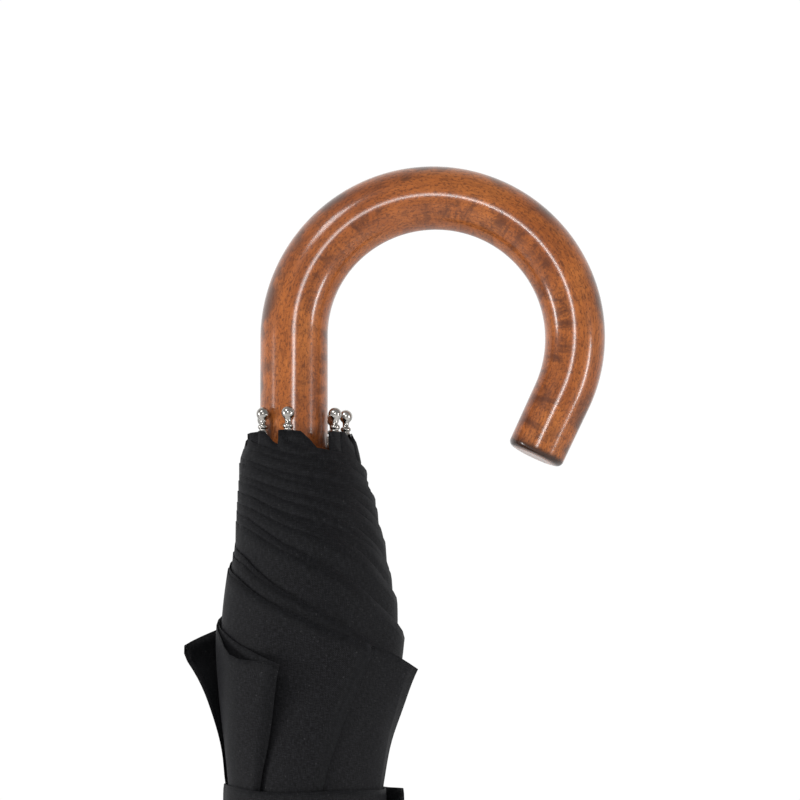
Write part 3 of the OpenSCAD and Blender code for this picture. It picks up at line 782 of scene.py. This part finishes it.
def sway_piece(piece, k):
    """Leans a straight piece of rib k with the closed roll, and lets it straighten as the umbrella opens."""
    straight = np.zeros(len(piece.data.vertices) * 3, np.float32)
    piece.data.vertices.foreach_get("co", straight)
    straight = straight.reshape(-1, 3)
    azimuth = FIRST_RIB + k * SECTOR
    # one shift for each height, so that the section keeps its shape
    line_r = PIVOT_R + (straight[:, 2] - PIVOT.z) * math.tan(TILT)
    line = np.stack([line_r * math.cos(azimuth), line_r * math.sin(azimuth), straight[:, 2]], axis=-1)
    leaning = straight + swayed(line) - line
    piece.data.vertices.foreach_set("co", leaning.astype(np.float32).ravel())
    piece.data.update()
    point_attribute(piece, "sway", straight - leaning)
    use_group(piece, STRAIGHTENING, {"Runner": "runner"})


def make_rib(k):
    cad = frame["nodes"][f"rib_{k + 1}"]
    piece = add_object(f"rib_{k + 1}_steel", cad.data.copy())
    piece.data.materials.clear()
    piece.data.materials.append(FRAME_STEEL)
    sway_piece(piece, k)
    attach(piece, f"rib_{k + 1}")
    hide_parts(f"rib_{k + 1}")


# A ball tip turned from one piece, as (height from the ball's middle, radius) in millimetres from its top.
TIP_OUTLINE = (
    *[(2.15 * math.cos(a * math.pi / 14), 2.15 * math.sin(a * math.pi / 14)) for a in range(0, 11)],
    (-2.0, 1.05), (-3.2, 0.95), (-3.5, 1.25), (-3.8, 1.62), (-4.4, 1.70), (-4.7, 1.55), (-4.9, 1.30),
    (-5.3, 1.25), (-5.6, 1.62), (-5.9, 1.72), (-6.2, 1.62), (-6.5, 1.72), (-6.8, 1.62), (-7.1, 1.72),
    (-7.4, 1.62), (-7.8, 1.75), (-13.8, 1.65), (-14.0, 1.15),
)


def weld(piece):
    """Joins the points that lie in one place, such as a turned outline's ends on its axis."""
    modifier = piece.modifiers.new("weld", "WELD")
    modifier.merge_threshold = 0.001 * MM


def make_tip(k):
    azimuth = FIRST_RIB + k * SECTOR
    middle = PIVOT_R + (TIP_Z - PIVOT.z) * math.tan(TILT)
    up = Vector((math.sin(TILT) * math.cos(azimuth), math.sin(TILT) * math.sin(azimuth), math.cos(TILT)))
    side = Vector((-math.sin(azimuth), math.cos(azimuth), 0))
    out = side.cross(up)
    centre = Vector((middle * math.cos(azimuth), middle * math.sin(azimuth), TIP_Z))
    sides, points = 36, []
    for height, radius in TIP_OUTLINE:
        # the grip is finely ribbed lengthwise
        knurl = 0.05 if -7.6 < height < -5.4 else 0.0
        for j in range(sides):
            a = TAU * j / sides
            r = radius + (knurl if j % 2 else 0)
            points.append(centre + up * height * MM + (out * math.cos(a) + side * math.sin(a)) * r * MM)
    faces = grid_faces(len(TIP_OUTLINE), sides, wrap=True)
    piece = new_piece(f"rib_tip_{k + 1}_turned", points, faces, NICKEL)
    sway_piece(piece, k)
    weld(piece)
    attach(piece, f"rib_{k + 1}")
    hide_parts(f"rib_tip_{k + 1}")


# ---------- the tie strap and its snap ----------

STRAP_T = 0.9 * MM
STRAP_LAP = math.radians(75)
STRAP_END = math.radians(-4)
STRAP_LAP_GAP = 0.5 * MM     # between the strap's two layers where it laps
FREE_TURN = 0.32             # how much of the strap's end stands free, in radians
SNAP_AZIMUTH = math.radians(28)
STRAP_GORE = 1               # the gore that the open strap lies on, from 0
OPEN_STRAP_AT = 0.80         # how far down that gore, as a share of its length
OPEN_STRAP_START = 115 * MM  # from the strap's first end to the gore's middle
SNAP_ALONG = 205 * MM        # from the strap's first end to the snap


def roll_outline(azimuths, z):
    """The largest radius of the rolled gores at each azimuth, at the height z."""
    best = np.zeros(len(azimuths))
    for k in range(RIBS):
        w = np.linspace(0, 1, 400) * edge_w(np.array(z))
        x = np.full_like(w, SHOULDER + z - APEX_Z)
        p = gore_point(k, x, w, 0)
        a = np.arctan2(p[:, 1], p[:, 0])
        r = np.hypot(p[:, 0], p[:, 1])
        for i, azimuth in enumerate(azimuths):
            near = np.abs((a - azimuth + math.pi) % TAU - math.pi) < 0.03
            if near.any():
                best[i] = max(best[i], r[near].max())
    return best


def make_strap():
    """A doubled strip of cloth, once round the roll and lapped, with a dip in the middle of its front."""
    steps, rows = 220, 12
    total = TAU + STRAP_LAP - STRAP_END
    turned = np.linspace(0, total, steps + 1)
    azimuth = STRAP_LAP - turned
    height = STRAP_HIGH - STRAP_LOW
    wrapped = (azimuth + math.pi) % TAU - math.pi
    levels = np.linspace(STRAP_LOW + 1 * MM, STRAP_HIGH - 1 * MM, 5)
    outline = np.max([roll_outline(wrapped, z) for z in levels], axis=0)
    # the outline is evened out over nine steps
    outline = np.convolve(np.pad(outline, 4, mode="edge"), np.ones(9) / 9, mode="valid")
    base = outline + 0.25 * MM + (STRAP_T + STRAP_LAP_GAP) * smooth(turned, TAU - 0.2, TAU)
    free = smooth(turned, total - FREE_TURN, total)
    slant = 0.8 * MM - 3.6 * MM * bump(wrapped, math.radians(-95), math.radians(52))
    slant = slant - 1.8 * MM * bump(wrapped, math.radians(-20), math.radians(40))
    sections = []
    # each section is a flat loop: the inside from low to high, then the outside back down
    across = np.linspace(0, 1, rows + 1)
    for i in range(steps + 1):
        outward = np.array([math.cos(azimuth[i]), math.sin(azimuth[i]), 0])
        forward = np.array([math.sin(azimuth[i]), -math.cos(azimuth[i]), 0])
        loop = []
        for side in (0, 1):
            for t in (across if side == 0 else across[::-1]):
                edge = 1 - (2 * t - 1) ** 8
                thick = STRAP_T * (0.35 + 0.65 * edge) * (0.5 if side else -0.5)
                radius = base[i] + STRAP_T / 2 + thick
                place = outward * (radius + 4.6 * MM * free[i]) + forward * (3.5 * MM * free[i])
                place[2] = STRAP_LOW + height * t + slant[i]
                loop.append(place)
        sections.append(loop)
    ring = len(sections[0])
    points = np.array(sections).reshape(-1, 3)
    faces = grid_faces(steps + 1, ring, wrap=True)
    faces.append(tuple(range(ring - 1, -1, -1)))
    faces.append(tuple(steps * ring + j for j in range(ring)))
    piece = new_piece("tie_strap_cloth", points, faces, CLOTH)
    length = float(np.linalg.norm(np.diff(points[::ring], axis=0), axis=1).sum())
    s = np.repeat(turned / total, ring)
    t = np.tile(np.concatenate([across, across[::-1]]), steps + 1)
    point_attribute(piece, "cut", np.stack([s * length, t * height, 0 * s], axis=-1))
    edge_in = np.minimum(t, 1 - t) * height
    point_attribute(piece, "stitched", 1 - bump(edge_in, 2.0 * MM, 0.5 * MM))
    opened = strap_open(s * length, t * height - height / 2)
    carry_open(piece, STRAP_GORE, opened, np.full(len(points), 0.5))
    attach(piece, "root")
    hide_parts("tie_strap")
    return base, azimuth, slant


def strap_open(along, across):
    """Where the strap lies on the open umbrella: along the outside of its gore, near the hem."""
    middle = FIRST_RIB + (STRAP_GORE + 0.5) * SECTOR
    slope = TILT + OPEN_TURN
    radius, height = open_line(np.array(OPEN_STRAP_AT * GORE_LEN))
    flat_r = float(radius) * math.cos(SECTOR / 2)
    down = np.array([math.cos(middle) * math.sin(slope), math.sin(middle) * math.sin(slope), math.cos(slope)])
    side = np.array([-math.sin(middle), math.cos(middle), 0])
    out = np.cross(side, down)
    out = out if out[2] < 0 else -out
    start = np.array([math.cos(middle) * flat_r, math.sin(middle) * flat_r, float(height)])
    return start + (along - OPEN_STRAP_START)[:, None] * side + across[:, None] * down + (2 * MM) * out


# Half sections of the snap's two parts, as (radius, height) in millimetres.
CAP_OUTLINE = (
    (0, 1.5), (0.9, 1.5), (1.8, 1.45), (3.6, 1.15), (4.6, 0.75), (5.2, 0.35), (5.5, -0.1), (5.3, -0.5),
    (0, -0.5),
)
STUD_OUTLINE = ((0, 0.5), (3.0, 0.5), (3.6, 0.2), (3.6, -0.3), (3.3, -0.5), (0, -0.5))


def make_snap(base, azimuth, slant):
    """The snap's cap on the strap's outer layer, and its stud between the two layers."""
    lapped = int(np.argmin(np.abs(azimuth - (SNAP_AZIMUTH - TAU))))
    under = int(np.argmin(np.abs(azimuth - SNAP_AZIMUTH)))
    outward = Vector((math.cos(SNAP_AZIMUTH), math.sin(SNAP_AZIMUTH), 0))
    side = Vector((-math.sin(SNAP_AZIMUTH), math.cos(SNAP_AZIMUTH), 0))
    level = STRAP_MID + float(slant[lapped])
    for name, outline, from_axis, node in (
        ("snap_cap_pressed", CAP_OUTLINE, base[lapped] + STRAP_T, "snap_cap"),
        ("snap_stud_pressed", STUD_OUTLINE, base[under] + STRAP_T + 0.3 * MM, "snap_stud"),
    ):
        sides, points, local = 48, [], []
        for r, h in outline:
            for j in range(sides):
                a = TAU * j / sides
                local.append((r * math.cos(a) * MM, r * math.sin(a) * MM, h * MM))
                points.append(outward * (from_axis + h * MM) + side * local[-1][0]
                    + Vector((0, 0, level + local[-1][1])))
        faces = grid_faces(len(outline), sides, wrap=True)
        piece = new_piece(name, points, faces, NICKEL)
        weld(piece)
        local = np.array(local)
        opened = strap_open(local[:, 0] + SNAP_ALONG, local[:, 1])
        # square to the open strap, from two points of the third ring that are a quarter turn apart
        third = 2 * sides + 1
        lift = np.cross(opened[third] - opened[0], opened[third + sides // 4] - opened[0])
        lift = lift / np.linalg.norm(lift)
        lift = lift if lift[2] < 0 else -lift
        opened = opened + (local[:, 2] + 0.6 * MM)[:, None] * lift
        carry_open(piece, STRAP_GORE, opened, np.full(len(points), 0.5))
        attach(piece, "root")
        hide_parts(node)


make_handle()
for number in range(RIBS):
    make_gore(number)
    make_rib(number)
    make_tip(number)
make_snap(*make_strap())

# ---------- finishes of the CAD nodes that show ----------

FINISHES = {
    "shaft": SHAFT_WOOD, "ferrule": NICKEL, "crown_cap": NICKEL, "crown_washer": CLOTH,
    "top_notch": BRIGHT_STEEL, "notch_wire": NICKEL, "notch_rivet": NICKEL, "stop_pin": NICKEL,
    "runner": NICKEL, "runner_wire": BRIGHT_STEEL, "top_spring": BRIGHT_STEEL, "hand_spring": BRIGHT_STEEL,
}
for name, node in frame["nodes"].items():
    finish = FINISHES.get(name)
    if finish is None and name.startswith("rib_pin"):
        finish = NICKEL
    elif finish is None and name.startswith("stretcher"):
        finish = FRAME_STEEL
    if finish is not None:
        node.data.materials.clear()
        node.data.materials.append(finish)

# ---------- floor, lights and camera ----------


def make_floor():
    s = Shader("pale_floor", Roughness=0.6)
    s.set("Base Color", s.ramp(s.noise(s.place(), 3.0), [
        (0.3, (0.90, 0.90, 0.90)), (0.7, (0.93, 0.93, 0.93)),
    ]))
    half = 6.0
    floor = new_piece("floor", [(-half, -half, 0), (half, -half, 0), (half, half, 0), (-half, half, 0)],
        [(0, 1, 2, 3)], s.material, smooth_faces=False)
    floor.location.z = CAD_BOX[0][2] - 0.5 * MM


def area_light(name, place, aim, size, power, colour=(1, 1, 1)):
    data = bpy.data.lights.new(name, "AREA")
    data.shape = "RECTANGLE"
    data.size, data.size_y = size
    data.energy = power
    data.color = colour
    lamp = add_object(name, data)
    lamp.location = place
    lamp.rotation_euler = (Vector(aim) - Vector(place)).to_track_quat("-Z", "Y").to_euler()


def make_world():
    """A white room that is dimmer on the camera's side."""
    world = bpy.data.worlds.new("studio")
    world.use_nodes = True
    tree = world.node_tree
    look = add_node(tree, "ShaderNodeTexCoord").outputs["Generated"]
    strength = add_node(tree, "ShaderNodeMapRange", {
        "Value": add_node(tree, "ShaderNodeSeparateXYZ", {0: look}).outputs["Y"],
        "From Min": -0.25, "From Max": 0.75, "To Min": 0.36, "To Max": 1.02,
    }, interpolation_type="SMOOTHSTEP").outputs["Result"]
    background = tree.nodes["Background"]
    background.inputs["Color"].default_value = (1, 1, 1, 1)
    tree.links.new(strength, background.inputs["Strength"])
    bpy.context.scene.world = world


SENSOR_MM = 36
VIEW_MM = 258.8              # width of the view at the shaft
TARGET = Vector((34.3 * MM, 0, TIP_Z + 5.5 * MM))
DISTANCE = 1.6
PITCH = math.radians(-6)

make_world()
bpy.context.scene.view_settings.view_transform = "Standard"
make_floor()
area_light("left_strip", (-1.35, -0.42, 0.60), TARGET, (0.16, 0.50), 9)
area_light("right_strip", (1.30, -0.68, 0.58), TARGET, (0.14, 0.50), 8)
area_light("front_line", (0.03, -1.75, 0.90), TARGET, (0.085, 0.085), 1.7)
area_light("front_band", (0.00, -1.70, 0.98), TARGET, (0.30, 0.22), 4.0)
area_light("key", (-0.95, -1.3, 2.1), TARGET, (0.5, 0.5), 15)

camera_data = bpy.data.cameras.new("camera")
camera_data.sensor_width = SENSOR_MM
camera_data.lens = SENSOR_MM * DISTANCE / (VIEW_MM * MM)
camera_data.clip_end = 50
camera = add_object("camera", camera_data)
camera.location = TARGET + Vector((0, -DISTANCE * math.cos(PITCH), DISTANCE * math.sin(PITCH)))
camera.rotation_euler = (TARGET - camera.location).to_track_quat("-Z", "Y").to_euler()
bpy.context.scene.camera = camera
